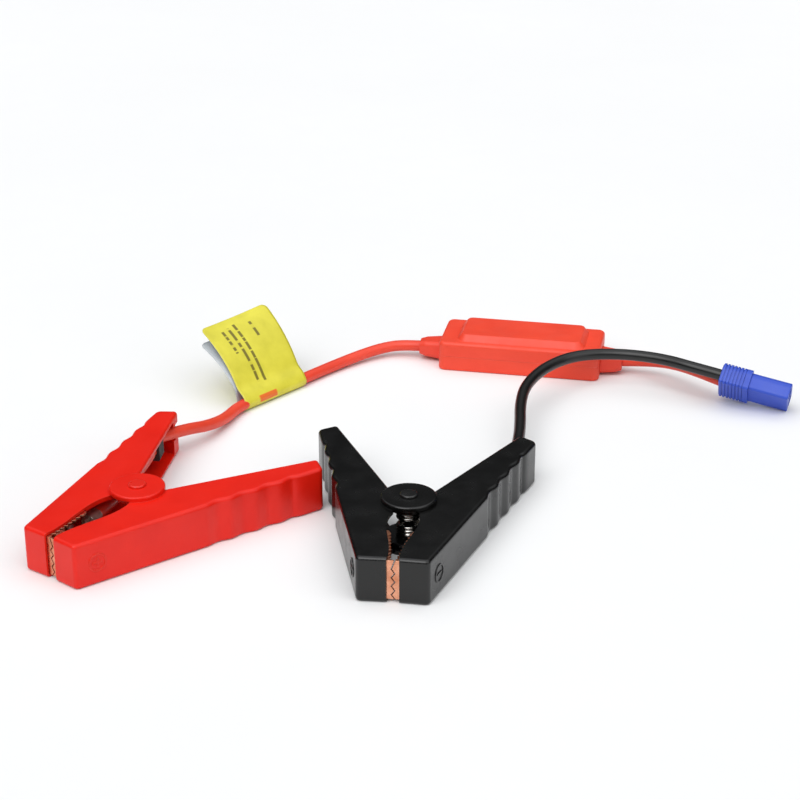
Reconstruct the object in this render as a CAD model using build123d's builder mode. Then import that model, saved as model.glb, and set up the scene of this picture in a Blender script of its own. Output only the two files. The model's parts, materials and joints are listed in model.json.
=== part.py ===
from build123d import *
import os
from math import cos, pi, radians, sin, tan

# Jump-start lead set: a red and a black spring clamp, a diode module in the red lead,
# and a two-pole plug that both leads end in. Millimetres, +Z up, laid out on a table at Z = 0.
# A clamp's own frame has the pivot at its origin, the jaws towards -Y and the handles towards +Y.
# Every clamp half is drawn on the +X side and mirrored where it is needed on the other.

# ---- driving dimensions -------------------------------------------------------------------
LEAD_D = 6.2                # outer diameter of the silicone lead
LEAD_R = LEAD_D / 2

CLAMP_T = 23.0              # thickness of a clamp
PLATE = 2.4                 # cheek plates, top and bottom
JAW_PLATE = 1.4             # cheek plates thinned over the copper jaws
WALL = 2.8                  # outer wall of a clamp half
EDGE_R = 1.8                # rounding of the outer edges
JAW_FRONT = -58.5           # front face of the jaws
HANDLE_OUT = (56.0, 72.3)   # outer corner of the handle's end
HANDLE_IN = (47.0, 78.8)    # inner corner of the handle's end
JAW_OUT = (16.7, JAW_FRONT - 0.3)
JAW_IN = (3.0, JAW_FRONT + 0.2)
GRIP_COUNT = 4
GRIP_PITCH = 14.0
GRIP_DEPTH = 1.2
GRIP_START = 70.0           # first finger scallop, measured along the outer wall

OUTLET_Z, OUTLET_H = 9.6, 8.0   # bottom and height of the lead's way out of the handle
MARK_R, MARK_LINE = 4.6, 0.75   # ring round the polarity sign, and the width of its lines
MARK_ALONG = 11.5
MARK_H = 0.5

PIN_R = 2.0
PIN_FIT = 0.05              # running clearance on the pin
DISC_R = 13.5               # raised disc of the free half, over the pivot
DISC_T = 2.3
EAR_R = 11.0                # ear of the wired half, nested under that disc
EAR_GAP = 0.25
LOW_EAR_R = 12.0
LOW_EAR_T = 2.3

LUG_R, LUG_L = 3.5, 8.0
LUG_TONGUE = (6.0, 2.0)
LUG_LAP = 1.2               # the tongue stops this short of the jaw

SPRING_WIRE = 1.8
SPRING_R = 5.2              # mean radius of the coils
SPRING_TURNS = 3.1          # in each half of the spring
SPRING_PITCH = 1.86
SPRING_LEG = 49.0
SPRING_BEND = 0.3           # length of the bend from the coil to the leg
SPRING_KNUCKLE = 0.2        # how far the bend swells past the wire
SPRING_LEG_TURN = 32.0      # direction of the leg from +X
SPRING_LOW, SPRING_TOP = 6.0, 19.5

SHEET = 1.0                 # copper sheet of the jaws
JAW_Z0, JAW_Z1 = 1.6, 21.4  # lower and upper face of a copper jaw
JAW_BACK = -28.0
RIM_FRONT, RIM_BACK = 1.0, 4.6
TOOTH_PITCH = 3.0
TOOTH_DEPTH = 1.2
ZIG_PITCH = 4.4
ZIG_DEPTH = 0.8
ZIG_GAP = 0.3               # half of the slit between the two zigzags
JAW_START = JAW_FRONT + 1.5  # front of the copper
JAW_INSET = 9.0             # back of the copper jaw, inwards of the outer wall
RIVET_R = 1.5
RIVET_FIT = 0.02
RIVET_HEAD_R, RIVET_HEAD_T = 2.6, 0.9
BOSS_R = 3.2                # bosses behind the copper jaws
RIVETS = (11.0, 24.0)       # along the outer wall

# where things lie: x, y, turn about Z
BLACK_PLACE = (27.4, -91.9, -7.45)
RED_PLACE = (-102.8, -81.5, -37.24)
MODULE_PLACE = (93.2, 122.9, -11.0)

MODULE_L, MODULE_W = 92.0, 38.0
MODULE_SHIFT = 2.5          # the shell stands this far to one side of the leads' line
MODULE_SPLIT = 8.5          # height of the joint between base and cover
MODULE_SIDE = 17.0          # height of the side walls
MODULE_H = 20.5             # top of the raised panel
MODULE_WALL = 2.0
MODULE_CORNER = 4.0
PANEL = (74.0, 32.6)        # foot of the raised panel
GLAND_Z = 7.0
GLAND_LEN = {"left": 13.0, "right": 12.0}
NECK = (9.0, 8.0)           # section of a gland where it passes through the end wall
POST_R = 3.2                # screw posts of base and cover
SCREW_R, SCREW_HEAD_R = 1.2, 2.3
BOARD_SIZE, BOARD_T, BOARD_Z = (56.0, 24.0), 1.6, 5.0
SUPPORT_Z = BOARD_Z - 0.1   # the board lies just clear of its supports
PART_Z = BOARD_Z + BOARD_T + 0.05   # underside of what stands on the board
DIODE_SIZE, DIODE_H = (10.2, 9.2), 4.4
DIODE_PITCH = 13.5

PLUG_REAR = (200.0, 69.4, 14.8)
PLUG_HEADING, PLUG_TILT, PLUG_ROLL = -20.6, 7.7, -48.0
COLLAR_L, COLLAR_W, COLLAR_T = 16.5, 20.5, 13.2
NOSE_L, NOSE_W, NOSE_T = 22.0, 18.2, 10.9
SPIGOT_L, SPIGOT_W, SPIGOT_T = 3.0, NOSE_W - 3.0, NOSE_T - 2.4   # the nose's end in the collar
RIB_COUNT, RIB_PITCH, RIB_L = 7, 1.9, 1.2
COLLAR_RIM = 3.1
POLE_SPACING = 9.0
CONTACT_R = 3.2
BORE_R, BORE_L = 2.5, 18.0  # what a bullet contact slides into
CUP_R, CUP_L = 2.4, 7.0
LEAD_HOLE_R = 3.6
LEAD_HOLE_DEPTH = 7.0
POLE_R = 3.3                # holes that the contacts sit in

LABEL_L, LABEL_FLAG, LABEL_T = 46.5, 50.0, 0.45
LABEL_BOW = 1.8             # how far the flag's middle stands off its chord, each way
LABEL_Z = 3.75              # the wrap lifts the lead off the table by its own thickness
LABEL_START = (-63.3, 58.8)
LABEL_HEADING = 47.5
LABEL_RISE = 45.5           # angle of the flag above the table

# centre lines of the free leads; the first point is where the lead leaves the handle or gland
RED_FRONT_ROUTE = [
    (-95.9, 1.2, 13.5), (-88.8, 10.5, 11.8), (-79.1, 22.4, 8.0), (-71.0, 39.4, 4.2),
    (-65.1, 56.4, 3.75), (-48.1, 75.7, 3.75), (-31.8, 93.7, 3.75), (-14.6, 113.2, 3.6),
    (1.2, 126.9, 4.6), (13.7, 134.5, 5.7), (24.8, 136.5, 6.6), (36.8, 133.8, 7.0),
]
RED_REAR_ROUTE = [
    (150.2, 111.8, 7.0), (161.2, 109.6, 7.9), (172.0, 103.1, 10.0), (180.7, 92.7, 12.3),
    (189.7, 81.1, 13.3), (196.7, 75.1, 12.6), (204.3, 71.0, 11.0),
]
BLACK_ROUTE = [
    (80.6, -28.3, 13.5), (84.0, -10.1, 13.9), (86.2, 9.9, 14.9), (87.2, 31.9, 16.4),
    (91.2, 53.4, 18.0), (103.2, 74.9, 19.3), (121.2, 89.9, 20.0), (145.2, 91.4, 20.3),
    (168.2, 83.9, 20.6), (186.4, 71.5, 20.0), (204.0, 64.7, 17.4),
]
# centre line of the lead inside a clamp's wired handle, in the clamp's frame on the +X side
INNER_ROUTE = [(13.6, -15.0, 11.5), (18.0, 1.0, 11.5), (26.0, 21.0, 12.0), (33.4, 39.5, 12.6)]
INNER_LAST = 9.5            # last straight of that lead, up to where it leaves the handle

# unit direction along the outer wall, from jaw to handle, and outwards from it
WALL_LEN = ((HANDLE_OUT[0] - JAW_OUT[0]) ** 2 + (HANDLE_OUT[1] - JAW_OUT[1]) ** 2) ** 0.5
ALONG = ((HANDLE_OUT[0] - JAW_OUT[0]) / WALL_LEN, (HANDLE_OUT[1] - JAW_OUT[1]) / WALL_LEN)
OUTWARD = (ALONG[1], -ALONG[0])


def on_wall(along, inset):
    """A point of the clamp's plan, from a distance along the outer wall and one inwards."""
    return (
        JAW_OUT[0] + ALONG[0] * along - OUTWARD[0] * inset,
        JAW_OUT[1] + ALONG[1] * along - OUTWARD[1] * inset,
    )


def wall_inset(point):
    """How far a point of the plan lies inwards of the outer wall."""
    return (JAW_OUT[0] - point.X) * OUTWARD[0] + (JAW_OUT[1] - point.Y) * OUTWARD[1]


def save(name, piece):
    piece.label = name
    export_step(piece, "parts/" + name + ".step")


def put(name, piece, place, side):
    """Save a clamp's piece, drawn on the +X side, in its place; side -1 mirrors it first."""
    save(name, place * (piece if side > 0 else piece.mirror(Plane.YZ)))


# ---- clamp halves -------------------------------------------------------------------------
def outline():
    """Plan of one half: outer wall with finger scallops, handle end, inner edges and jaw."""
    with BuildSketch() as plan:
        with BuildLine():
            Line(JAW_IN, JAW_OUT)
            grips = [on_wall(GRIP_START, 0)]
            for i in range(GRIP_COUNT):
                grips.append(on_wall(GRIP_START + (i + 0.5) * GRIP_PITCH, GRIP_DEPTH))
                grips.append(on_wall(GRIP_START + (i + 1) * GRIP_PITCH, 0))
            Line(JAW_OUT, grips[0])
            Spline(*grips, tangents=[ALONG, ALONG])
            Line(grips[-1], HANDLE_OUT)
            Polyline(HANDLE_OUT, HANDLE_IN, (11.0, 12.0), (9.0, 4.0), (6.0, -11.0))
            Spline((6.0, -11.0), (7.5, -18.0), (7.0, -28.0), JAW_IN)
        make_face()
        fillet(plan.vertices().sort_by_distance(JAW_OUT)[0], radius=2.5)
        fillet(plan.vertices().sort_by_distance(HANDLE_OUT)[0], radius=3.5)
        fillet(plan.vertices().sort_by_distance(HANDLE_IN)[0], radius=2.0)
    return plan.sketch


def mark(polarity, plane):
    """Ring with a plus or a minus inside, for raising on the outer wall."""
    with BuildSketch(plane) as face:
        Circle(MARK_R)
        Circle(MARK_R - MARK_LINE, mode=Mode.SUBTRACT)
        Rectangle(MARK_R, MARK_LINE)
        if polarity == "plus":
            Rectangle(MARK_LINE, MARK_R)
    return face.sketch


def clamp_half(nested, polarity):
    """Hollow half of a clamp, open inwards. The nested half's ears lie between the other's."""
    plan = outline()
    with BuildPart() as half:
        add(extrude(plan, amount=CLAMP_T))
        rims = half.faces().filter_by(Axis.Z).edges()
        fillet(rims.filter_by(lambda rim: wall_inset(rim.center()) < 8.0), radius=EDGE_R)
        # the channel, open on the inner side
        with BuildSketch(Plane.XY.offset(PLATE)):
            with BuildLine():
                Polyline(
                    (-6.0, JAW_FRONT + WALL), on_wall(WALL, WALL), on_wall(WALL_LEN - 3.6, WALL),
                    on_wall(WALL_LEN - 7.6, 16.5), (-6.0, 24.0), (-6.0, JAW_FRONT + WALL),
                )
            make_face()
        extrude(amount=CLAMP_T - 2 * PLATE, mode=Mode.SUBTRACT)
        # deeper and thinner-walled pocket that the copper jaw sits in
        with BuildSketch(Plane.XY.offset(JAW_Z0 - 0.2)):
            with BuildLine():
                Polyline(
                    (-6.0, JAW_FRONT + 1.3), (8.6, JAW_FRONT + 1.3),
                    on_wall(-JAW_BACK, 7.8), (17.6, JAW_BACK + 0.6), (-6.0, JAW_BACK + 0.6),
                    (-6.0, JAW_FRONT + 1.3),
                )
            make_face()
        extrude(amount=JAW_Z1 - JAW_Z0 + 0.4, mode=Mode.SUBTRACT)
        # two bosses from the outer wall to the copper jaw's back
        for along in RIVETS:
            boss = Plane(
                origin=(*on_wall(along, WALL - 0.5), CLAMP_T / 2), z_dir=(-OUTWARD[0], -OUTWARD[1], 0)
            )
            with BuildSketch(boss):
                Circle(BOSS_R)
                Circle(RIVET_R + RIVET_FIT, mode=Mode.SUBTRACT)
            extrude(amount=JAW_INSET - WALL)
        if nested:
            # outlet for the lead, through the inner corner of the handle's end
            with BuildSketch(Plane.XY.offset(OUTLET_Z)):
                with Locations((HANDLE_IN[0] - 3.0, HANDLE_IN[1] - 4.0)):
                    Rectangle(9.0, 16.0)
            extrude(amount=OUTLET_H, mode=Mode.SUBTRACT)
        # raised polarity mark on the outer wall
        spot = Plane(
            origin=(*on_wall(MARK_ALONG, 0.1), CLAMP_T / 2),
            x_dir=(ALONG[0], ALONG[1], 0), z_dir=(OUTWARD[0], OUTWARD[1], 0),
        )
        extrude(mark(polarity, spot), amount=MARK_H)
        if nested:
            # flush top ear, and a bottom ear that steps up over the other half's
            with BuildSketch(Plane.XY.offset(CLAMP_T - PLATE)):
                Circle(EAR_R)
            extrude(amount=PLATE)
            with BuildSketch(Plane.XY.offset(PLATE - 0.1)):
                add(plan)
                Circle(DISC_R + 5.0, mode=Mode.INTERSECT)
                Circle(LOW_EAR_R)
            extrude(amount=LOW_EAR_T + EAR_GAP + 0.1)
            with BuildSketch():
                Circle(DISC_R + EAR_GAP)
            extrude(amount=PLATE + EAR_GAP, mode=Mode.SUBTRACT)
        else:
            # room for the other half's ear, then the raised disc over it and the flush ear below
            with BuildSketch(Plane.XY.offset(CLAMP_T - PLATE - 0.2)):
                Circle(EAR_R + EAR_GAP)
            extrude(amount=PLATE + 1, mode=Mode.SUBTRACT)
            with BuildSketch(Plane.XY.offset(CLAMP_T - PLATE)):
                add(plan)
                Circle(DISC_R, mode=Mode.INTERSECT)
                Circle(EAR_R + EAR_GAP, mode=Mode.SUBTRACT)
            extrude(amount=PLATE + EAR_GAP + 0.1)
            with BuildSketch(Plane.XY.offset(CLAMP_T + EAR_GAP)):
                Circle(DISC_R)
            extrude(amount=DISC_T)
            fillet(half.faces().sort_by(Axis.Z)[-1].edges(), radius=0.9)
            with BuildSketch():
                Circle(DISC_R)
            extrude(amount=PLATE)
            with BuildSketch():
                Circle(4.4)
            extrude(amount=1.3, mode=Mode.SUBTRACT)
        with BuildSketch(Plane.XY.offset(-1)):
            Circle(PIN_R + PIN_FIT)
        extrude(amount=CLAMP_T + 8, mode=Mode.SUBTRACT)
    return half.part


def copper_jaw(phase):
    """Stamped tray with toothed rims; phase sets which way its front zigzag runs."""
    with BuildPart() as tray:
        base_front = on_wall(1.5, JAW_INSET)
        base_back = on_wall(-JAW_BACK + 2.0, JAW_INSET)[0]
        with BuildSketch(Plane.XY.offset(JAW_Z0)):
            count = int((JAW_BACK - JAW_START) / TOOTH_PITCH)
            length = count * TOOTH_PITCH
            rim = []
            for i in range(count):
                share = i * TOOTH_PITCH / length
                x = RIM_FRONT + (RIM_BACK - RIM_FRONT) * share
                y = JAW_START + i * TOOTH_PITCH
                rim += [(x + TOOTH_DEPTH, y), (x, y + TOOTH_PITCH / 2)]
            rim.append((RIM_BACK + TOOTH_DEPTH, JAW_BACK - 0.4))
            with BuildLine():
                Polyline(*rim, (base_back, JAW_BACK - 0.4), base_front, rim[0])
            make_face()
        extrude(amount=JAW_Z1 - JAW_Z0)
        with BuildSketch(Plane.XY.offset(JAW_Z0 + SHEET)):
            with BuildLine():
                Polyline(
                    (-3.0, JAW_START + SHEET), (base_front[0] - SHEET + 0.3, JAW_START + SHEET),
                    (base_back - SHEET, JAW_BACK + 2.0), (-3.0, JAW_BACK + 2.0),
                    (-3.0, JAW_START + SHEET),
                )
            make_face()
        extrude(amount=JAW_Z1 - JAW_Z0 - 2 * SHEET, mode=Mode.SUBTRACT)
        # front flange, cut to a zigzag that meets the other jaw's
        with BuildSketch(Plane.XZ.offset(-JAW_START)):
            steps = int(2 * (JAW_Z1 - JAW_Z0) / ZIG_PITCH) + 1
            edge = []
            for i in range(steps):
                side = 1 if (i % 2 == 0) else -1
                z = min(JAW_Z0 + i * ZIG_PITCH / 2, JAW_Z1)
                edge.append((ZIG_GAP + phase * side * ZIG_DEPTH, z))
            edge[-1] = (edge[-1][0], JAW_Z1)
            with BuildLine():
                Polyline(*edge, (base_front[0] - 0.4, JAW_Z1), (base_front[0] - 0.4, JAW_Z0), edge[0])
            make_face()
        extrude(amount=-SHEET)
        # rivet holes in the back
        for along in RIVETS:
            hole = Plane(origin=(*on_wall(along, 4.0), CLAMP_T / 2), z_dir=(-OUTWARD[0], -OUTWARD[1], 0))
            with BuildSketch(hole):
                Circle(RIVET_R + RIVET_FIT)
            extrude(amount=12.0, mode=Mode.SUBTRACT)
    return tray.part


def jaw_rivets():
    """Two rivets that hold a copper jaw to its bosses, head inside the tray."""
    with BuildPart() as rivets:
        for along in RIVETS:
            shank = Plane(
                origin=(*on_wall(along, WALL + 1.5), CLAMP_T / 2), z_dir=(-OUTWARD[0], -OUTWARD[1], 0)
            )
            with BuildSketch(shank):
                Circle(RIVET_R)
            extrude(amount=JAW_INSET - WALL + SHEET - RIVET_HEAD_T)
            head = Plane(
                origin=(*on_wall(along, JAW_INSET + SHEET + 0.5), CLAMP_T / 2),
                z_dir=(-OUTWARD[0], -OUTWARD[1], 0),
            )
            with BuildSketch(head):
                Circle(RIVET_HEAD_R)
            extrude(amount=RIVET_HEAD_T, taper=20)
    return rivets.part


def pivot_pin():
    """Rivet through both halves, with a domed cap over the disc and a flat head below."""
    top = CLAMP_T + EAR_GAP + DISC_T
    with BuildPart() as pin:
        with BuildSketch(Plane.XY.offset(0.9)):
            Circle(PIN_R)
        extrude(amount=top - 0.9)
        with BuildSketch(Plane.XY.offset(0.2)):
            Circle(4.1)
        extrude(amount=1.0)
        with BuildSketch(Plane.XY.offset(top + 0.1)):
            Circle(4.25)
        extrude(amount=1.1)
        fillet(pin.faces().sort_by(Axis.Z)[-1].edges(), radius=0.7)
        with BuildSketch(Plane.XY.offset(top - 0.1)):
            Circle(PIN_R)
        extrude(amount=0.6)
    return pin.part


def spring_stack(upper):
    """Half of the torsion spring: a coil round the pin and a leg to its own handle."""
    slope = SPRING_PITCH / (2 * pi * SPRING_R)
    with BuildPart() as stack:
        with BuildLine():
            Helix(SPRING_PITCH, SPRING_TURNS * SPRING_PITCH, SPRING_R)
        with BuildSketch(Plane(origin=(SPRING_R, 0, 0), z_dir=(0, 1, slope))):
            Circle(SPRING_WIRE / 2)
        sweep(is_frenet=True)
        with BuildSketch(Plane(origin=(SPRING_R, -SPRING_BEND, 0), z_dir=(0, -1, 0))):
            Circle(SPRING_WIRE / 2)
        extrude(amount=SPRING_LEG)
        with Locations((SPRING_R, -SPRING_BEND / 2, 0)):
            Sphere(SPRING_WIRE / 2 + SPRING_KNUCKLE)
    coil = stack.part.solid()
    if upper:
        coil = coil.mirror(Plane.XY)
    height = SPRING_TOP if upper else SPRING_LOW
    return Location((0, 0, height), (0, 0, 90 + SPRING_LEG_TURN)) * coil


def cable_lug():
    """Crimp barrel round the lead's end, with a tongue to the copper jaw."""
    start = Vector(*INNER_ROUTE[0])
    run = (Vector(*INNER_ROUTE[1]) - start).normalized()
    root = start - run * LUG_L
    with BuildPart() as lug:
        with BuildSketch(Plane(origin=root, z_dir=run)):
            Circle(LUG_R)
        extrude(amount=LUG_L)
        with BuildSketch(Plane(origin=root, x_dir=(0, 0, 1), z_dir=run)):
            Rectangle(*LUG_TONGUE)
        extrude(amount=JAW_BACK + LUG_LAP - root.Y)
    return lug.part


def bend_radii(points):
    """The largest bends that the straight runs between the points leave room for."""
    radii = []
    for before, here, after in zip(points, points[1:], points[2:]):
        first, second = Vector(*here) - Vector(*before), Vector(*after) - Vector(*here)
        turn = radians(first.get_angle(second))
        radii.append(0.45 * min(first.length, second.length) / tan(turn / 2))
    return radii


def lead_tube(points):
    """A lead along its route: straight runs joined by tangent arcs."""
    with BuildPart() as tube:
        with BuildLine():
            FilletPolyline(*points, radius=bend_radii(points))
        first = Vector(*points[1]) - Vector(*points[0])
        with BuildSketch(Plane(origin=points[0], z_dir=first)):
            Circle(LEAD_R)
        sweep()
    return tube.part


def lead_grip(points):
    """Rubber block that grips the lead near the end of the handle."""
    start = Vector(*points[-3])
    run = (Vector(*points[-2]) - start).normalized()
    with BuildPart() as block:
        with BuildSketch(Plane(origin=start + run * 10.0, x_dir=(0, 0, 1), z_dir=run)) as face:
            Rectangle(11.0, 9.2)
            fillet(face.vertices(), radius=1.2)
            Circle(LEAD_R + 0.05, mode=Mode.SUBTRACT)
        extrude(amount=8.0)
    return block.part


# ---- diode module -------------------------------------------------------------------------
SHELL = Locations((0, MODULE_SHIFT))
SCREWS = GridLocations(76.0, 22.0, 2, 2)
SUPPORTS = GridLocations(48.0, 18.0, 2, 2)


def neck_slots():
    """Sketch of the opening in both end walls for the necks of the glands."""
    with BuildSketch(Plane.YZ.offset(-MODULE_L / 2 - 1)) as slot:
        with Locations((0, GLAND_Z)):
            Rectangle(NECK[0] + 0.1, NECK[1] + 0.1)
    return slot.sketch


def module_base():
    with BuildPart() as base:
        with BuildSketch():
            with SHELL:
                RectangleRounded(MODULE_L, MODULE_W, MODULE_CORNER)
        extrude(amount=MODULE_SPLIT)
        fillet(base.faces().sort_by(Axis.Z)[0].edges(), radius=1.0)
        with BuildSketch(Plane.XY.offset(MODULE_WALL)):
            with SHELL:
                RectangleRounded(MODULE_L - 2 * MODULE_WALL, MODULE_W - 2 * MODULE_WALL, 2.0)
        extrude(amount=MODULE_SPLIT, mode=Mode.SUBTRACT)
        with BuildSketch(Plane.XY.offset(MODULE_WALL - 0.1)):
            with SCREWS:
                Circle(POST_R)
            with SUPPORTS:
                Circle(1.8)
        extrude(amount=SUPPORT_Z - MODULE_WALL + 0.1)
        with BuildSketch(Plane.XY.offset(MODULE_WALL)):
            with SCREWS:
                Circle(POST_R)
        extrude(amount=MODULE_SPLIT - MODULE_WALL)
        with BuildSketch():
            with SCREWS:
                Circle(SCREW_HEAD_R + 0.2)
        extrude(amount=2.1, mode=Mode.SUBTRACT)
        with BuildSketch():
            with SCREWS:
                Circle(SCREW_R + 0.15)
        extrude(amount=MODULE_SPLIT, mode=Mode.SUBTRACT)
        extrude(neck_slots(), amount=MODULE_L + 2, mode=Mode.SUBTRACT)
    return base.part


def module_cover():
    with BuildPart() as cover:
        with BuildSketch(Plane.XY.offset(MODULE_SPLIT + 0.05)):
            with SHELL:
                RectangleRounded(MODULE_L, MODULE_W, MODULE_CORNER)
        extrude(amount=MODULE_SIDE - MODULE_SPLIT - 0.05)
        fillet(cover.faces().sort_by(Axis.Z)[-1].edges(), radius=2.0)
        # raised panel with sloping sides
        with BuildSketch(Plane.XY.offset(MODULE_SIDE - 0.3)):
            with Locations((0.5, MODULE_SHIFT + 0.6)):
                RectangleRounded(*PANEL, 6.0)
        extrude(amount=MODULE_H - MODULE_SIDE + 0.3, taper=40)
        fillet(cover.faces().sort_by(Axis.Z)[-1].edges(), radius=0.8)
        with BuildSketch(Plane.XY.offset(MODULE_SPLIT)):
            with SHELL:
                RectangleRounded(MODULE_L - 2 * MODULE_WALL, MODULE_W - 2 * MODULE_WALL, 2.0)
        extrude(amount=MODULE_SIDE - MODULE_SPLIT - MODULE_WALL, mode=Mode.SUBTRACT)
        with BuildSketch(Plane.XY.offset(MODULE_SPLIT + 0.05)):
            with SCREWS:
                Circle(POST_R)
        extrude(amount=MODULE_SIDE - MODULE_SPLIT - 1.0)
        with BuildSketch(Plane.XY.offset(MODULE_SPLIT)):
            with SCREWS:
                Circle(SCREW_R + 0.05)
        extrude(amount=5.5, mode=Mode.SUBTRACT)
        extrude(neck_slots(), amount=MODULE_L + 2, mode=Mode.SUBTRACT)
    return cover.part


def gland(length, base_w, base_h):
    """Tapered strain relief on the end wall, drawn towards +X from the wall's outer face."""
    with BuildPart() as boot:
        with BuildSketch(Plane.YZ.offset(0.1)):
            RectangleRounded(base_w, base_h, 2.6)
        with BuildSketch(Plane.YZ.offset(length - 3.5)):
            RectangleRounded(base_w - 2.4, base_h - 1.4, 2.6)
        with BuildSketch(Plane.YZ.offset(length)):
            RectangleRounded(base_w - 4.6, base_h - 3.0, 2.6)
        loft(ruled=True)
        with BuildSketch(Plane.YZ.offset(0.2)):
            Rectangle(*NECK)
        extrude(amount=-MODULE_WALL - 0.3)
        with BuildSketch(Plane.YZ.offset(-MODULE_WALL - 0.1)):
            RectangleRounded(12.0, 9.4, 1.0)
        extrude(amount=-1.6)
        with BuildSketch(Plane.YZ.offset(-6)):
            Circle(LEAD_R + 0.1)
        extrude(amount=length + 12, mode=Mode.SUBTRACT)
    return boot.part


def lead_tails():
    """Ends of the red lead inside the module, from each gland to its terminal."""
    with BuildPart() as tails:
        for start, end in ((-MODULE_L / 2 - GLAND_LEN["left"] + 1.6, -31.0),
                           (31.0, MODULE_L / 2 + GLAND_LEN["right"] - 0.02)):
            with BuildSketch(Plane.YZ.offset(start)):
                with Locations((0, GLAND_Z)):
                    Circle(LEAD_R)
            extrude(amount=end - start)
    return tails.part


def circuit_board():
    with BuildPart() as board:
        with BuildSketch(Plane.XY.offset(BOARD_Z)):
            RectangleRounded(*BOARD_SIZE, 1.5)
            with SUPPORTS:
                Circle(1.1, mode=Mode.SUBTRACT)
        extrude(amount=BOARD_T)
    return board.part


def diode_packs():
    """Three power diodes, with their heat tabs, side by side on the board."""
    with BuildPart() as packs:
        for x in (-DIODE_PITCH, 0.0, DIODE_PITCH):
            with BuildSketch(Plane.XY.offset(PART_Z)):
                with Locations((x, -1.5)):
                    Rectangle(*DIODE_SIZE)
            extrude(amount=DIODE_H)
            with BuildSketch(Plane.XY.offset(PART_Z)):
                with Locations((x, 5.9)):
                    Rectangle(DIODE_SIZE[0], 6.2)
            extrude(amount=1.3)
            with BuildSketch(Plane.XY.offset(6.0)):
                with Locations((x, 6.4)):
                    Circle(1.7)
            extrude(amount=3.0, mode=Mode.SUBTRACT)
    return packs.part


def terminals():
    """Two copper terminals on the board, each crimped round a lead tail."""
    with BuildPart() as pair:
        for side in (-1, 1):
            with BuildSketch(Plane.YZ.offset(side * 32.6)):
                with Locations((0, GLAND_Z)):
                    Circle(3.8)
                    Circle(LEAD_R + 0.03, mode=Mode.SUBTRACT)
            extrude(amount=side * -4.0)
            with BuildSketch(Plane.XY.offset(PART_Z)):
                with Locations((side * 25.0, 0)):
                    Rectangle(11.0, 7.0)
            extrude(amount=1.2)
    return pair.part


def module_screws():
    with BuildPart() as screws:
        with BuildSketch(Plane.XY.offset(0.5)):
            with SCREWS:
                Circle(SCREW_HEAD_R)
        extrude(amount=1.5)
        with BuildSketch(Plane.XY.offset(2.0)):
            with SCREWS:
                Circle(SCREW_R)
        extrude(amount=10.0)
        with BuildSketch():
            with SCREWS:
                RectangleRounded(2.6, 0.7, 0.2)
                RectangleRounded(0.7, 2.6, 0.2)
        extrude(amount=1.2, mode=Mode.SUBTRACT)
    return screws.part


# ---- plug ---------------------------------------------------------------------------------
def keyed_section(width, thick, plane):
    """Rounded section whose lower corners are sharper, so that it only fits one way up."""
    with BuildSketch(plane) as section:
        Rectangle(width, thick)
        upper = section.vertices().group_by(Axis.Y)[-1]
        fillet(upper, radius=4.4)
        lower = section.vertices().group_by(Axis.Y)[0]
        fillet(lower, radius=1.5)
    return section.sketch


def pole_holes(start, radius):
    """Sketch of the two poles' holes, at a distance from the plug's rear."""
    with BuildSketch(Plane.YZ.offset(start)) as holes:
        with Locations((-POLE_SPACING / 2, 0), (POLE_SPACING / 2, 0)):
            Circle(radius)
    return holes.sketch


def plug_nose():
    with BuildPart() as nose:
        extrude(keyed_section(NOSE_W, NOSE_T, Plane.YZ.offset(COLLAR_L)), amount=NOSE_L)
        fillet(nose.faces().sort_by(Axis.X)[-1].edges(), radius=0.6)
        spigot = keyed_section(SPIGOT_W, SPIGOT_T, Plane.YZ.offset(COLLAR_L - SPIGOT_L))
        extrude(spigot, amount=SPIGOT_L + 0.1)
        extrude(pole_holes(COLLAR_L - 4, POLE_R), amount=NOSE_L + 6, mode=Mode.SUBTRACT)
    return nose.part


def plug_collar():
    """Ribbed rear part that the leads enter."""
    with BuildPart() as collar:
        extrude(keyed_section(COLLAR_W - 1.0, COLLAR_T - 1.0, Plane.YZ), amount=COLLAR_L - 0.05)
        for i in range(RIB_COUNT):
            ring = Plane.YZ.offset(0.5 + i * RIB_PITCH)
            extrude(keyed_section(COLLAR_W, COLLAR_T, ring), amount=RIB_L)
        rim = Plane.YZ.offset(COLLAR_L - COLLAR_RIM)
        extrude(keyed_section(COLLAR_W, COLLAR_T, rim), amount=COLLAR_RIM - 0.05)
        fillet(collar.faces().sort_by(Axis.X)[0].outer_wire().edges(), radius=0.35)
        # socket for the nose's spigot, then the holes for leads and contacts
        socket = keyed_section(SPIGOT_W + 0.1, SPIGOT_T + 0.1, Plane.YZ.offset(COLLAR_L - SPIGOT_L - 0.1))
        extrude(socket, amount=SPIGOT_L + 1, mode=Mode.SUBTRACT)
        extrude(pole_holes(-1, LEAD_HOLE_R), amount=LEAD_HOLE_DEPTH + 1, mode=Mode.SUBTRACT)
        extrude(pole_holes(LEAD_HOLE_DEPTH - 0.5, POLE_R), amount=COLLAR_L, mode=Mode.SUBTRACT)
    return collar.part


def contact_sleeve(side):
    """Gold-plated socket: solder cup at the back, 5 mm bore at the front."""
    with BuildPart() as sleeve:
        with BuildSketch(Plane.YZ.offset(LEAD_HOLE_DEPTH + 0.2)):
            with Locations((side * POLE_SPACING / 2, 0)):
                Circle(CONTACT_R)
        extrude(amount=COLLAR_L + NOSE_L - LEAD_HOLE_DEPTH - 2.2)
        with BuildSketch(Plane.YZ.offset(COLLAR_L + NOSE_L)):
            with Locations((side * POLE_SPACING / 2, 0)):
                Circle(BORE_R)
        extrude(amount=-BORE_L, mode=Mode.SUBTRACT)
        with BuildSketch(Plane.YZ.offset(LEAD_HOLE_DEPTH)):
            with Locations((side * POLE_SPACING / 2, 0)):
                Circle(CUP_R)
        extrude(amount=CUP_L, mode=Mode.SUBTRACT)
    return sleeve.part


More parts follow.
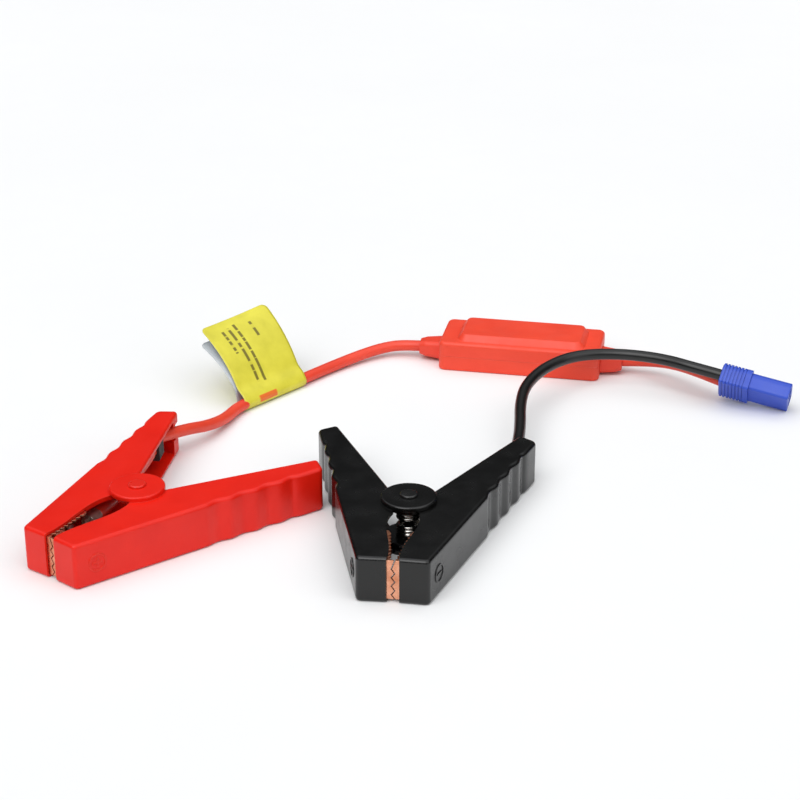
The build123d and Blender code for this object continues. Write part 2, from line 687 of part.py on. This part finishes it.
def label_flag():
    """Folded label: a wrap round the lead and the two joined faces standing off it."""
    rise = radians(LABEL_RISE)
    heading = radians(LABEL_HEADING)
    section_plane = Plane(
        origin=(*LABEL_START, LABEL_Z), x_dir=(-sin(heading), cos(heading), 0),
        z_dir=(cos(heading), sin(heading), 0),
    )
    with BuildPart() as label:
        with BuildSketch(section_plane):
            Circle(LEAD_R + 0.1 + LABEL_T)
            Circle(LEAD_R + 0.1, mode=Mode.SUBTRACT)
            with BuildLine():
                near = (LEAD_R + 0.2) * cos(rise), (LEAD_R + 0.2) * sin(rise)
                far = (LABEL_FLAG * cos(rise), LABEL_FLAG * sin(rise))
                bow = (0.5 * far[0] - LABEL_BOW, 0.5 * far[1] + LABEL_BOW)
                ThreePointArc(near, bow, far)
                step = (-LABEL_T * sin(rise), LABEL_T * cos(rise))
                Line(far, (far[0] + step[0], far[1] + step[1]))
                ThreePointArc(
                    (far[0] + step[0], far[1] + step[1]), (bow[0] + step[0], bow[1] + step[1]),
                    (near[0] + step[0], near[1] + step[1]),
                )
                Line((near[0] + step[0], near[1] + step[1]), near)
            make_face()
        extrude(amount=LABEL_L)
    return label.part


CLAMPS = {
    "black": {"place": BLACK_PLACE, "wired": 1, "mark": "minus", "exit": BLACK_ROUTE},
    "red": {"place": RED_PLACE, "wired": -1, "mark": "plus", "exit": RED_FRONT_ROUTE},
}
os.makedirs("parts", exist_ok=True)

for colour, clamp in CLAMPS.items():
    x, y, turn = clamp["place"]
    place = Location((x, y, 0), (0, 0, turn))
    wired = clamp["wired"]

    put(colour + "_wired_half", clamp_half(True, clamp["mark"]), place, wired)
    put(colour + "_free_half", clamp_half(False, clamp["mark"]), place, -wired)
    put(colour + "_wired_jaw", copper_jaw(1), place, wired)
    put(colour + "_free_jaw", copper_jaw(-1), place, -wired)
    put(colour + "_wired_rivets", jaw_rivets(), place, wired)
    put(colour + "_free_rivets", jaw_rivets(), place, -wired)
    put(colour + "_pivot_pin", pivot_pin(), place, 1)
    put(colour + "_spring_lower", spring_stack(False), place, wired)
    put(colour + "_spring_upper", spring_stack(True), place, -wired)
    put(colour + "_cable_lug", cable_lug(), place, wired)

    # the lead inside the handle runs on into the free lead's first stretch
    out, beyond = (
        (place.inverse() * Location(point)).position for point in clamp["exit"][:2]
    )
    out, beyond = Vector(out.X * wired, out.Y, out.Z), Vector(beyond.X * wired, beyond.Y, beyond.Z)
    bend = out - (beyond - out).normalized() * INNER_LAST
    inner = INNER_ROUTE + [tuple(bend), tuple(out)]
    put(colour + "_inner_lead", lead_tube(inner), place, wired)
    put(colour + "_lead_grip", lead_grip(inner), place, wired)

x, y, turn = MODULE_PLACE
module_place = Location((x, y, 0), (0, 0, turn))
for name, piece in (
    ("module_base", module_base()), ("module_cover", module_cover()),
    ("module_lead_tails", lead_tails()), ("circuit_board", circuit_board()),
    ("diode_packs", diode_packs()), ("module_terminals", terminals()),
    ("module_screws", module_screws()),
):
    save(name, module_place * piece)
left_end = Location((-MODULE_L / 2, 0, GLAND_Z), (0, 0, 180))
right_end = Location((MODULE_L / 2, 0, GLAND_Z))
save("gland_left", module_place * left_end * gland(GLAND_LEN["left"], 14.0, 10.6))
save("gland_right", module_place * right_end * gland(GLAND_LEN["right"], 15.6, 11.8))

plug_place = (
    Location(PLUG_REAR, (0, 0, PLUG_HEADING)) * Location((0, 0, 0), (0, PLUG_TILT, 0))
    * Location((0, 0, 0), (PLUG_ROLL, 0, 0))
)
save("plug_nose", plug_place * plug_nose())
save("plug_collar", plug_place * plug_collar())
save("contact_negative", plug_place * contact_sleeve(-1))
save("contact_positive", plug_place * contact_sleeve(1))

save("red_lead_front", lead_tube(RED_FRONT_ROUTE))
save("red_lead_rear", lead_tube(RED_REAR_ROUTE))
save("black_lead", lead_tube(BLACK_ROUTE))
save("label", label_flag())
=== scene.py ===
"""Looks of a jump-start lead set: two spring clamps, a diode module and a keyed plug on silicone leads.

Lengths are in metres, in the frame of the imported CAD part. Routes are lists in millimetres.
"""

import json
from math import cos, pi, radians, sin

import bmesh
import bpy
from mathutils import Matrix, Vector


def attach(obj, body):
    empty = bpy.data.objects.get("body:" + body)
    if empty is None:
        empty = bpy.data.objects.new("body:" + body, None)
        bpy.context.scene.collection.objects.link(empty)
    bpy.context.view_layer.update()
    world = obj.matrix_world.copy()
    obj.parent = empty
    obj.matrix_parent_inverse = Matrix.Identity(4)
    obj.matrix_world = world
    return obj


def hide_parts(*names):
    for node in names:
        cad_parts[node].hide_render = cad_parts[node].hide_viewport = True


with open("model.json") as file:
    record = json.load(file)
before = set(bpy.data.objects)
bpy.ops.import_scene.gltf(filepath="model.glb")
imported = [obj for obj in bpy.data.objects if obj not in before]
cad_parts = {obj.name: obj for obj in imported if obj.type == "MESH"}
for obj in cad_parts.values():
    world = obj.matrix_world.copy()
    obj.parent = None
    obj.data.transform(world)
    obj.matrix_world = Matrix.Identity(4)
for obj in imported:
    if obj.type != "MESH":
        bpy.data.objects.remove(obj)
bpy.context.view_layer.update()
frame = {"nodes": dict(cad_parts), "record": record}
NODES = frame["nodes"]
SCENE = bpy.context.scene

MM = 0.001

# Camera
CAMERA_PLACE = (0.0232, -0.9371, 0.4596)
CAMERA_PITCH = 24.46          # degrees below the horizon
CAMERA_LENS = 90.0
CAMERA_SENSOR = 36.0
CAMERA_NEAR = 0.01

# Leads
LEAD_D = 0.0062
RED_FRONT_ROUTE = (
    (-95.9, 1.2, 13.5), (-88.8, 10.5, 11.8), (-79.1, 22.4, 8.0), (-71.0, 39.4, 4.2),
    (-65.1, 56.4, 3.75), (-48.1, 75.7, 3.75), (-31.8, 93.7, 3.75), (-14.6, 113.2, 3.6),
    (1.2, 126.9, 4.6), (13.7, 134.5, 5.7), (24.8, 136.5, 6.6), (36.8, 133.8, 7.0),
)
RED_REAR_ROUTE = (
    (150.2, 111.8, 7.0), (161.2, 109.6, 7.9), (172.0, 103.1, 10.0), (180.7, 92.7, 12.3),
    (189.7, 81.1, 13.3), (196.7, 75.1, 12.6), (204.3, 71.0, 11.0),
)
BLACK_ROUTE = (
    (80.6, -28.3, 13.5), (84.0, -10.1, 13.9), (86.2, 9.9, 14.9), (87.2, 31.9, 16.4),
    (91.2, 53.4, 18.0), (103.2, 74.9, 19.3), (121.2, 89.9, 20.0), (145.2, 91.4, 20.3),
    (168.2, 83.9, 20.6), (186.4, 71.5, 20.0), (204.0, 64.7, 17.4),
)

# Folded label
LABEL_START = Vector((-63.3, 58.8, 3.75)) * MM   # on the lead's axis, at the label's first edge
LABEL_HEADING = radians(47.5)  # of the lead, from +X
LABEL_RISE = radians(45.5)    # of the flag above the table
LABEL_W = 0.0465              # along the lead
LABEL_FLAG = 0.0495           # from the lead to the edge of the front layer
LABEL_BACK = 0.0420           # the same for the back layer
LABEL_SHEET = 0.00012         # thickness of the film
LABEL_RING = LEAD_D / 2 + 0.0005   # radius of the wrap
LABEL_JOIN = 0.010            # where the two layers meet, from the lead
LABEL_GAP = 0.0006            # between the two layers past the join
LABEL_BOW = 0.0042            # how far the flag's middle stands off its chord
LABEL_LEAN = 0.10             # shift along the lead per unit of height of the flag
LABEL_DROOP = (0.0060, 0.0015)   # how far the flag's edge leans back, at its two corners
DROOP_POWER = 1.6
LABEL_SKEW = 0.0036           # how far the back layer slips along the lead
SKEW_POWER = 0.6
LABEL_SPREAD = 0.0012         # how far the back layer's edge stands off the front one
LABEL_CURL = 0.0016           # lift of the flag's two corners
LABEL_CORNER = 0.0035         # radius of the corners
LABEL_ROWS, RING_ROWS, LABEL_COLUMNS = 40, 18, 30
FRONT_PACKING, BACK_PACKING = 1.4, 1.2   # rows lie closer together near the wrap
FILM_YELLOW = ((0.76, 0.69, 0.055), (0.63, 0.57, 0.035))
FILM_GREY = ((0.56, 0.59, 0.60), (0.42, 0.45, 0.47))
PRINT_TINT = (0.16, 0.13, 0.01)
PATCH_TINT = (0.80, 0.16, 0.02)
# Bars on the label: place across it, start and end out from the lead, dashes per width
PRINT_BARS = (
    (0.24, 0.55, 0.86, 16.0),
    (0.34, 0.16, 0.88, 14.0),
    (0.44, 0.14, 0.90, 18.0),
    (0.66, 0.66, 0.86, 6.0),
)
BAR_HALF = 0.016              # half the width of a bar, as a share of the label's

# Surroundings
DUST_TINT = (0.42, 0.40, 0.37)
FLOOR_HALF, FLOOR_DROP = 6.0, 0.0001
LAMPS = (
    ("key_light", (-0.45, -0.75, 1.0), 1.55, 50.0),
    ("fill_light", (0.85, -0.70, 0.75), 0.75, 60.0),
)
SKY_HEIGHTS = (0.5, 0.9)      # where the dome starts and stops brightening
SKY_STRENGTHS = (0.035, 1.25)


# ---------------------------------------------------------------- materials

def node(tree, kind, inputs=None, **settings):
    """Add a shader node; an input's value is a constant or another node's socket."""
    added = tree.nodes.new("ShaderNode" + kind)
    for name, value in settings.items():
        setattr(added, name, value)
    for name, value in (inputs or {}).items():
        if isinstance(value, bpy.types.NodeSocket):
            tree.links.new(value, added.inputs[name])
        else:
            added.inputs[name].default_value = value
    return added


def blend(tree, factor, first, second):
    """Mix two colours, each a tuple or a socket."""
    def filled(colour):
        return colour if isinstance(colour, bpy.types.NodeSocket) else (*colour, 1.0)

    mix = node(tree, "Mix", {0: factor, 6: filled(first), 7: filled(second)}, data_type="RGBA")
    return mix.outputs[2]


def ramp(tree, value, low, high, to_low=0.0, to_high=1.0):
    """Map a value's range low..high to to_low..to_high, clamped."""
    inputs = {
        "Value": value, "From Min": low, "From Max": high, "To Min": to_low, "To Max": to_high,
    }
    return node(tree, "MapRange", inputs).outputs["Result"]


def edge_highlight_and_wear(tree, width):
    """The normal rounded over sharp edges, and a mask of those edges."""
    rounded = node(tree, "Bevel", {"Radius": width}, samples=6).outputs["Normal"]
    flat = node(tree, "NewGeometry").outputs["Normal"]
    dot = node(tree, "VectorMath", {0: rounded, 1: flat}, operation="DOT_PRODUCT")
    return rounded, ramp(tree, dot.outputs["Value"], 0.995, 0.86)


def surface(
    name, light, dark, rough=(0.3, 0.42), metal=0.0, drift=55.0, grain=2600.0, depth=6e-6,
    stretch=(1, 1, 1), edge=0.25, edge_width=4e-4, edge_tint=None, coat=0.0, gloss=0.5, dust=0.0,
):
    """Material with slow colour drift, fine relief, uneven gloss, edges lightened as painted highlight
    and wear, and settled dust.
    """
    material = bpy.data.materials.new(name)
    material.use_nodes = True
    tree = material.node_tree
    tree.nodes.clear()
    place = node(tree, "TexCoord").outputs["Object"]
    slow = node(tree, "TexNoise", {"Vector": place, "Scale": drift, "Detail": 5.0})
    colour = blend(tree, ramp(tree, slow.outputs["Fac"], 0.32, 0.68), dark, light)
    speck = node(tree, "TexNoise", {"Vector": place, "Scale": drift * 14, "Detail": 3.0})
    mottle = ramp(tree, speck.outputs["Fac"], 0.4, 0.75, 0.0, 0.35)
    colour = blend(tree, mottle, colour, dark)

    # Edges are lightened towards a paler tint: this is painted highlight along the rounded edges,
    # partly also wear.
    rounded, edges = edge_highlight_and_wear(tree, edge_width)
    tint = edge_tint or tuple(min(1.0, channel * 1.35 + 0.02) for channel in light)
    edge_patches = node(tree, "TexNoise", {"Vector": place, "Scale": 420.0, "Detail": 3.0})
    highlight_and_wear = node(tree, "Math", {
        0: edges, 1: ramp(tree, edge_patches.outputs["Fac"], 0.3, 0.7, edge * 0.4, edge),
    }, operation="MULTIPLY").outputs["Value"]
    colour = blend(tree, highlight_and_wear, colour, tint)
    if dust:
        up = node(tree, "NewGeometry").outputs["Normal"]
        height = node(tree, "SeparateXYZ", {"Vector": up}).outputs["Z"]
        cloud = node(tree, "TexNoise", {"Vector": place, "Scale": 130.0, "Detail": 6.0})
        settled = node(tree, "Math", {
            0: ramp(tree, height, 0.5, 1.0), 1: ramp(tree, cloud.outputs["Fac"], 0.45, 0.8, 0.0, dust),
        }, operation="MULTIPLY").outputs["Value"]
        colour = blend(tree, settled, colour, DUST_TINT)

    stretched = node(tree, "Mapping", {"Vector": place, "Scale": stretch}).outputs["Vector"]
    fine = node(tree, "TexNoise", {"Vector": stretched, "Scale": grain, "Detail": 2.0})
    bump = node(tree, "Bump", {
        "Height": fine.outputs["Fac"], "Distance": depth, "Strength": 1.0, "Normal": rounded,
    })
    smear = node(tree, "TexNoise", {"Vector": stretched, "Scale": 90.0, "Detail": 4.0})
    shader = node(tree, "BsdfPrincipled", {
        "Base Color": colour, "Metallic": metal, "Normal": bump.outputs["Normal"],
        "Roughness": ramp(tree, smear.outputs["Fac"], 0.35, 0.65, *rough),
        "Coat Weight": coat, "Coat Roughness": 0.25, "Specular IOR Level": gloss,
    })
    node(tree, "OutputMaterial", {"Surface": shader.outputs["BSDF"]})
    return material


def label_material(printed):
    """Coated film: yellow with plain grey bars and an orange patch, or its pale grey back."""
    material = bpy.data.materials.new("label_front" if printed else "label_back")
    material.use_nodes = True
    tree = material.node_tree
    tree.nodes.clear()
    place = node(tree, "TexCoord").outputs["Object"]
    cloud = node(tree, "TexNoise", {"Vector": place, "Scale": 90.0, "Detail": 4.0}).outputs["Fac"]
    light, dark = FILM_YELLOW if printed else FILM_GREY
    colour = blend(tree, ramp(tree, cloud, 0.3, 0.7), dark, light)
    if printed:
        sheet = node(tree, "UVMap", uv_map="sheet").outputs["UV"]
        split = node(tree, "SeparateXYZ", {"Vector": sheet})
        along, out = split.outputs["X"], split.outputs["Y"]
        for centre, start, stop, dash in PRINT_BARS:
            mask = bar(tree, along, out, centre, start, stop, dash)
            colour = blend(tree, mask, colour, PRINT_TINT)
        patch = band(tree, along, 0.24, 0.50, 0.02)
        patch = both(tree, patch, band(tree, out, -0.075, 0.0, 0.006))
        colour = blend(tree, patch, colour, PATCH_TINT)
    crease = node(tree, "TexNoise", {"Vector": place, "Scale": 160.0, "Detail": 3.0})
    bump = node(tree, "Bump", {
        "Height": crease.outputs["Fac"], "Distance": 1.2e-4, "Strength": 0.5,
    })
    shader = node(tree, "BsdfPrincipled", {
        "Base Color": colour, "Normal": bump.outputs["Normal"], "Specular IOR Level": 0.5,
        "Roughness": ramp(tree, cloud, 0.3, 0.7, 0.30, 0.44),
    })
    node(tree, "OutputMaterial", {"Surface": shader.outputs["BSDF"]})
    return material


def band(tree, value, low, high, soft):
    """1 between low and high, falling to 0 over soft."""
    rise = ramp(tree, value, low - soft, low)
    fall = ramp(tree, value, high, high + soft, 1.0, 0.0)
    return both(tree, rise, fall)


def both(tree, first, second):
    """The product of two masks."""
    return node(tree, "Math", {0: first, 1: second}, operation="MULTIPLY").outputs["Value"]


def bar(tree, along, out, centre, start, stop, dash):
    """One printed bar that runs out from the lead, broken into dashes."""
    line = band(tree, along, centre - BAR_HALF, centre + BAR_HALF, BAR_HALF / 2)
    reach = band(tree, out, start, stop, 0.006)
    shifted = node(tree, "Math", {0: out, 1: centre * 37.0}, operation="ADD").outputs["Value"]
    wave = node(tree, "TexNoise", {"Scale": dash, "Detail": 1.0}, noise_dimensions="1D")
    tree.links.new(shifted, wave.inputs["W"])
    broken = ramp(tree, wave.outputs["Fac"], 0.38, 0.44, 0.1, 0.95)
    return both(tree, both(tree, line, reach), broken)


# Each edge_tint is the paler colour painted along the edges: painted highlight, partly wear.
RED = surface(
    "red_housing", (0.82, 0.014, 0.004), (0.76, 0.011, 0.003), rough=(0.30, 0.38),
    edge=0.45, edge_tint=(0.92, 0.11, 0.06), gloss=0.35,
)
BLACK = surface(
    "black_housing", (0.0040, 0.0040, 0.0038), (0.0028, 0.0028, 0.0028), rough=(0.20, 0.28),
    edge=0.3, edge_tint=(0.05, 0.05, 0.052),
)
RED_PIN = surface(
    "red_pin_paint", (0.82, 0.018, 0.006), (0.74, 0.013, 0.004), rough=(0.24, 0.34), coat=0.2,
)
BLACK_PIN = surface(
    "black_pin_paint", (0.009, 0.009, 0.009), (0.005, 0.005, 0.005), rough=(0.2, 0.3), coat=0.3,
)
COPPER = surface(
    "copper", (0.93, 0.46, 0.30), (0.62, 0.23, 0.12), rough=(0.20, 0.36), metal=1.0,
    drift=140.0, grain=1500.0, depth=1.2e-5, stretch=(1, 1, 6), edge_tint=(1.0, 0.66, 0.50),
)
STEEL = surface(
    "rivet_steel", (0.66, 0.65, 0.63), (0.42, 0.41, 0.39), rough=(0.28, 0.45), metal=1.0,
    drift=120.0, edge=0.4, edge_tint=(0.85, 0.84, 0.82),
)
SPRING = surface(
    "spring_steel", (0.84, 0.83, 0.80), (0.60, 0.58, 0.54), rough=(0.12, 0.24), metal=1.0,
    drift=150.0, grain=1800.0, depth=4e-6, edge=0.2,
)
TINNED = surface(
    "tinned_copper", (0.72, 0.70, 0.66), (0.50, 0.46, 0.40), rough=(0.3, 0.5), metal=1.0,
)
RED_LEAD = surface(
    "red_silicone", (0.84, 0.066, 0.030), (0.76, 0.050, 0.022), rough=(0.36, 0.46),
    drift=40.0, grain=1400.0, depth=1e-5, edge=0.1, gloss=0.45,
)
BLACK_LEAD = surface(
    "black_silicone", (0.006, 0.006, 0.006), (0.004, 0.004, 0.004), rough=(0.28, 0.36),
    drift=40.0, grain=1400.0, depth=1e-5, edge=0.1, edge_tint=(0.03, 0.03, 0.03), dust=0.003,
)
GRIP = surface(
    "grip_rubber", (0.035, 0.035, 0.035), (0.018, 0.018, 0.018), rough=(0.55, 0.72),
    depth=1.5e-5,
)
MODULE = surface(
    "module_plastic", (0.90, 0.066, 0.026), (0.83, 0.054, 0.021), rough=(0.42, 0.52),
    edge=0.4, edge_tint=(0.92, 0.19, 0.11), depth=1e-5, dust=0.03,
)
GLAND = surface(
    "gland_rubber", (0.88, 0.060, 0.026), (0.80, 0.050, 0.022), rough=(0.44, 0.54),
    edge=0.3, edge_tint=(0.9, 0.17, 0.10), depth=1.2e-5,
)
BOARD = surface("board", (0.03, 0.22, 0.08), (0.02, 0.15, 0.05), rough=(0.3, 0.45))
EPOXY = surface(
    "diode_epoxy", (0.035, 0.035, 0.035), (0.02, 0.02, 0.02), rough=(0.5, 0.65), depth=1.5e-5,
)
PLUG = surface(
    "plug_plastic", (0.028, 0.082, 0.56), (0.022, 0.066, 0.49), rough=(0.34, 0.44),
    edge=0.35, edge_tint=(0.16, 0.24, 0.80), edge_width=2.5e-4, depth=8e-6, dust=0.02,
)
GOLD = surface(
    "gold_contact", (0.92, 0.68, 0.28), (0.74, 0.50, 0.18), rough=(0.18, 0.3), metal=1.0,
)
LABEL_FRONT = label_material(True)
LABEL_REAR = label_material(False)

BY_SLOT = {
    "red_housing": RED, "black_housing": BLACK, "copper": COPPER, "rivet_steel": STEEL,
    "red_pin_paint": RED_PIN, "black_pin_paint": BLACK_PIN, "spring_steel": SPRING,
    "tinned_copper": TINNED, "red_silicone": RED_LEAD, "black_silicone": BLACK_LEAD,
    "grip_rubber": GRIP, "module_plastic": MODULE, "gland_rubber": GLAND, "board": BOARD,
    "diode_epoxy": EPOXY, "plug_plastic": PLUG, "gold_contact": GOLD, "label_film": LABEL_FRONT,
}
for part in frame["record"]["subparts"]:
    for material_slot in NODES[part["node"]].material_slots:
        material_slot.material = BY_SLOT[part["material_slot"]]


# ---------------------------------------------------------------- camera

def add_camera():
    """The camera at the product's usual three-quarter front view."""
    camera = bpy.data.objects.new("camera", bpy.data.cameras.new("camera"))
    SCENE.collection.objects.link(camera)
    camera.location = CAMERA_PLACE
    camera.rotation_euler = (radians(90.0 - CAMERA_PITCH), 0.0, 0.0)
    camera.data.lens = CAMERA_LENS
    camera.data.sensor_width = CAMERA_SENSOR
    camera.data.clip_start = CAMERA_NEAR
    SCENE.camera = camera


add_camera()


# ---------------------------------------------------------------- leads

def add_lead(name, route, material, replaced):
    """A lead: one smooth spline through the route, round in section."""
    curve = bpy.data.curves.new(name, "CURVE")
    curve.dimensions = "3D"
    spline = curve.splines.new("NURBS")
    spline.points.add(len(route) - 1)
    for point, place in zip(spline.points, route):
        point.co = (*(value * MM for value in place), 1.0)
    spline.order_u = 3
    spline.use_endpoint_u = True
    spline.resolution_u = 10
    curve.bevel_depth = LEAD_D / 2
    curve.bevel_resolution = 7
    curve.use_fill_caps = True
    curve.materials.append(material)
    lead = bpy.data.objects.new(name, curve)
    SCENE.collection.objects.link(lead)
    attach(lead, "root")
    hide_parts(replaced)
    return lead


red_front = add_lead("cord_red_front", RED_FRONT_ROUTE, RED_LEAD, "red_lead_front")
red_rear = add_lead("cord_red_rear", RED_REAR_ROUTE, RED_LEAD, "red_lead_rear")
black = add_lead("cord_black", BLACK_ROUTE, BLACK_LEAD, "black_lead")


# ---------------------------------------------------------------- label

def label_point(along, out, side):
    """A point of one layer of the flag: side is 1 on the front layer and -1 on the back."""
    reach = LABEL_FLAG if side > 0 else LABEL_BACK
    run = out / reach
    join = min(1.0, out / LABEL_JOIN)
    join = join * join * (3.0 - 2.0 * join)
    lift = side * (LABEL_RING + (LABEL_GAP / 2 - LABEL_RING) * join)
    middle = 4.0 * run * (1.0 - run) * LABEL_BOW
    across = along / LABEL_W - 0.5
    curl = LABEL_CURL * run ** 3 * (2.0 * across) ** 2
    first, last = LABEL_DROOP
    droop = run ** DROOP_POWER * (first + (last - first) * (across + 0.5))
    shift = LABEL_LEAN * out
    spread = 0.0
    if side < 0:
        shift -= LABEL_SKEW * run ** SKEW_POWER
        spread = LABEL_SPREAD * run
    return sheet_place(along + shift, out, lift + middle + curl - droop - spread)


def sheet_place(along, out, lift):
    """From the label's own directions to the part's frame."""
    lead = Vector((cos(LABEL_HEADING), sin(LABEL_HEADING), 0.0))
    away = Vector((-sin(LABEL_HEADING), cos(LABEL_HEADING), 0.0))
    up = Vector((0.0, 0.0, 1.0))
    flag = cos(LABEL_RISE) * away + sin(LABEL_RISE) * up
    face = cos(LABEL_RISE) * up - sin(LABEL_RISE) * away
    return LABEL_START + along * lead + out * flag + lift * face


def rounded_along(share, out, reach):
    """How far along the lead a grid line lies: the two free corners are cut round."""
    past = out - (reach - LABEL_CORNER)
    inset = 0.0
    if past > 0.0:
        inset = LABEL_CORNER * (1.0 - max(0.0, 1.0 - (past / LABEL_CORNER) ** 2) ** 0.5)
    return inset + share * (LABEL_W - 2.0 * inset)


def label_rows():
    """The sheet's rows, from the front layer's free edge round the lead to the back layer's."""
    rows = []
    for i in range(LABEL_ROWS + 1):
        out = LABEL_FLAG * (1.0 - (i / LABEL_ROWS) ** FRONT_PACKING)
        rows.append(("flat", out, 1))
    for i in range(1, RING_ROWS):
        rows.append(("ring", pi / 2 + pi * i / RING_ROWS, 0))
    for i in range(LABEL_ROWS + 1):
        out = LABEL_BACK * (i / LABEL_ROWS) ** (1 / BACK_PACKING)
        rows.append(("flat", out, -1))
    return rows


def add_label():
    """One sheet, folded round the lead with its two layers pressed together behind it."""
    mesh = bmesh.new()
    sheet_uv = mesh.loops.layers.uv.new("sheet")
    grid = []
    for kind, value, side in label_rows():
        line = []
        for j in range(LABEL_COLUMNS + 1):
            share = j / LABEL_COLUMNS
            if kind == "flat":
                reach = LABEL_FLAG if side > 0 else LABEL_BACK
                along = rounded_along(share, value, reach)
                place = label_point(along, value, side)
                uv = (share, value / reach if side > 0 else -2.0 - value / reach)
            else:
                along = share * LABEL_W
                place = sheet_place(along, LABEL_RING * cos(value), LABEL_RING * sin(value))
                uv = (share, -(value - pi / 2) * LABEL_RING / LABEL_FLAG)
            line.append((mesh.verts.new(place), uv))
        grid.append(line)
    for upper, lower in zip(grid, grid[1:]):
        for j in range(LABEL_COLUMNS):
            corners = (upper[j], lower[j], lower[j + 1], upper[j + 1])
            face = mesh.faces.new([vertex for vertex, _ in corners])
            face.smooth = True
            for loop, (_, uv) in zip(face.loops, corners):
                loop[sheet_uv].uv = uv
    data = bpy.data.meshes.new("label_sheet")
    mesh.to_mesh(data)
    mesh.free()
    data.materials.append(LABEL_FRONT)
    data.materials.append(LABEL_REAR)
    label = bpy.data.objects.new("label_sheet", data)
    SCENE.collection.objects.link(label)
    solid = label.modifiers.new("thickness", "SOLIDIFY")
    solid.thickness = LABEL_SHEET
    solid.offset = -1.0
    solid.material_offset = 1
    solid.material_offset_rim = 1
    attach(label, "root")
    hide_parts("label")
    return label


label = add_label()


# ---------------------------------------------------------------- floor and light

def add_floor():
    """A plain pale floor under the set."""
    mesh = bpy.data.meshes.new("floor")
    corners = [
        (across * FLOOR_HALF, back * FLOOR_HALF, -FLOOR_DROP)
        for across, back in ((-1, -1), (1, -1), (1, 1), (-1, 1))
    ]
    mesh.from_pydata(corners, [], [(0, 1, 2, 3)])
    floor = bpy.data.objects.new("floor", mesh)
    SCENE.collection.objects.link(floor)
    material = surface(
        "floor_paper", (0.90, 0.90, 0.90), (0.88, 0.88, 0.88), rough=(0.8, 0.9), drift=3.0,
        grain=600.0, depth=1e-5, edge=0.0, gloss=0.1,
    )
    mesh.materials.append(material)


def add_lamp(name, towards, strength, spread):
    """Soft light from far off in one direction, as wide as spread in degrees."""
    light = bpy.data.lights.new(name, "SUN")
    light.energy = strength
    light.angle = radians(spread)
    lamp = bpy.data.objects.new(name, light)
    SCENE.collection.objects.link(lamp)
    lamp.rotation_euler = Vector(towards).to_track_quat("Z", "Y").to_euler()


def add_sky():
    """A studio dome: pale overhead, dim near the horizon."""
    world = bpy.data.worlds.new("studio")
    SCENE.world = world
    world.use_nodes = True
    tree = world.node_tree
    tree.nodes.clear()
    direction = node(tree, "TexCoord").outputs["Generated"]
    height = node(tree, "SeparateXYZ", {"Vector": direction}).outputs["Z"]
    strength = ramp(tree, height, *SKY_HEIGHTS, *SKY_STRENGTHS)
    background = node(tree, "Background", {"Color": (0.96, 0.98, 1.0, 1.0), "Strength": strength})
    node(tree, "OutputWorld", {"Surface": background.outputs["Background"]})


add_floor()
for lamp_row in LAMPS:
    add_lamp(*lamp_row)
add_sky()
SCENE.view_settings.view_transform = "Standard"
